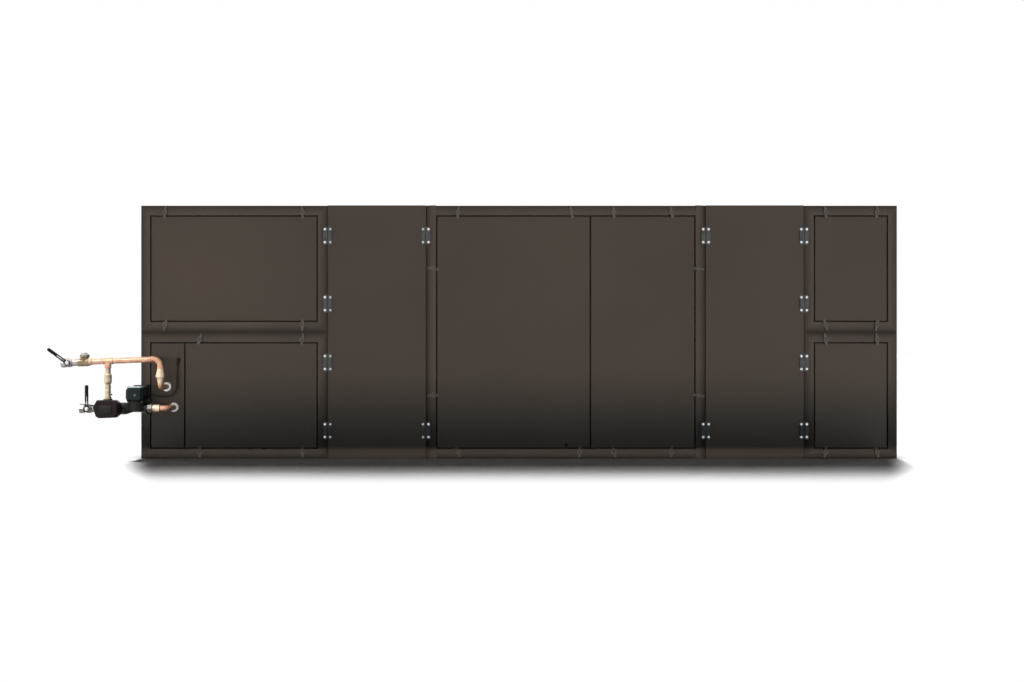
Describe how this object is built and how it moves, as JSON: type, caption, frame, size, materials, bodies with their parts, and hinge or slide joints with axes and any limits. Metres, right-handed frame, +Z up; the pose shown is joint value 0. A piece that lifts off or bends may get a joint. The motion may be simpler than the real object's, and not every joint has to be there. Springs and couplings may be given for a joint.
{
  "type": "modular air handling unit",
  "caption": "Long dark modular air handling unit with framed inspection panels, stacked end sections and a hot-water valve and pump group at one end.",
  "frame": {"origin": "on the floor, under the middle of the casing", "axes": "+X along the casing, away from the pump group; +Y from the panel side to the back; +Z up"},
  "size_m": [4.1881, 1.209, 1.264],
  "materials": {
    "casing": "dark brown-grey satin coil coating",
    "frame": "dark brown-grey satin powder coat",
    "clamp": "dark satin cast clamp",
    "connector": "grey cast lugs",
    "galvanised": "galvanised sheet",
    "filter_media": "pleated filter paper",
    "coil_fins": "thin bright fins",
    "copper": "bare copper with solder heat stains",
    "brass": "turned brass",
    "nickel": "nickel-plated brass",
    "lever_sleeve": "black plastic sleeve on a steel lever",
    "cast_iron": "black painted casting",
    "actuator": "dark moulded housing",
    "pump_paint": "dark teal paint",
    "rosette": "white plastic",
    "cable": "black rubber"
  },
  "bodies": {
    "casing": {"left_upper_panel": "casing", "coil_cover_panel": "casing", "left_lower_panel": "casing", "left_plain_panel": "casing", "centre_left_panel": "casing", "centre_right_panel": "casing", "right_plain_panel": "casing", "right_upper_panel": "casing", "right_lower_panel": "casing", "back_panels": "casing", "roof_panels": "casing", "floor_panels": "casing", "left_deck_panels": "casing", "right_deck_panels": "casing", "left_upper_frame": "frame", "left_lower_frame": "frame", "centre_frame": "frame", "right_upper_frame": "frame", "right_lower_frame": "frame", "panel_clamps": "clamp", "front_connectors": "connector", "back_connectors": "connector", "left_duct_frames": "galvanised", "right_duct_frames": "galvanised", "upper_damper_blades": "galvanised", "lower_damper_blades": "galvanised", "air_filter": "filter_media", "heating_coil": "coil_fins", "upper_pipe": "copper", "lower_pipe": "copper", "upper_union": "brass", "bypass_valve": "brass", "strainer_valve": "nickel", "lower_valve": "nickel", "pump_union_nuts": "nickel", "mixing_valve": "cast_iron", "pump_volute": "cast_iron", "mixing_actuator": "actuator", "pump_motor": "pump_paint", "pump_terminal_box": "pump_paint", "pipe_rosettes": "rosette", "motor_cable": "cable", "cable_glands": "cable", "drain_plug": "cable"},
    "upper_lever": {"upper_valve_lever": "lever_sleeve"},
    "lower_lever": {"lower_valve_lever": "lever_sleeve"}
  },
  "joints": [
    {"name": "upper_lever_turn", "type": "hinge", "parent": "casing", "child": "upper_lever", "pos_m": [-2.20335, -0.61, 0.48146], "axis": [0, -1, 0], "range_deg": [-52, 38]},
    {"name": "lower_lever_turn", "type": "hinge", "parent": "casing", "child": "lower_lever", "pos_m": [-2.1075, -0.61, 0.257], "axis": [0, -1, 0], "range_deg": [0, 90]}
  ]
}
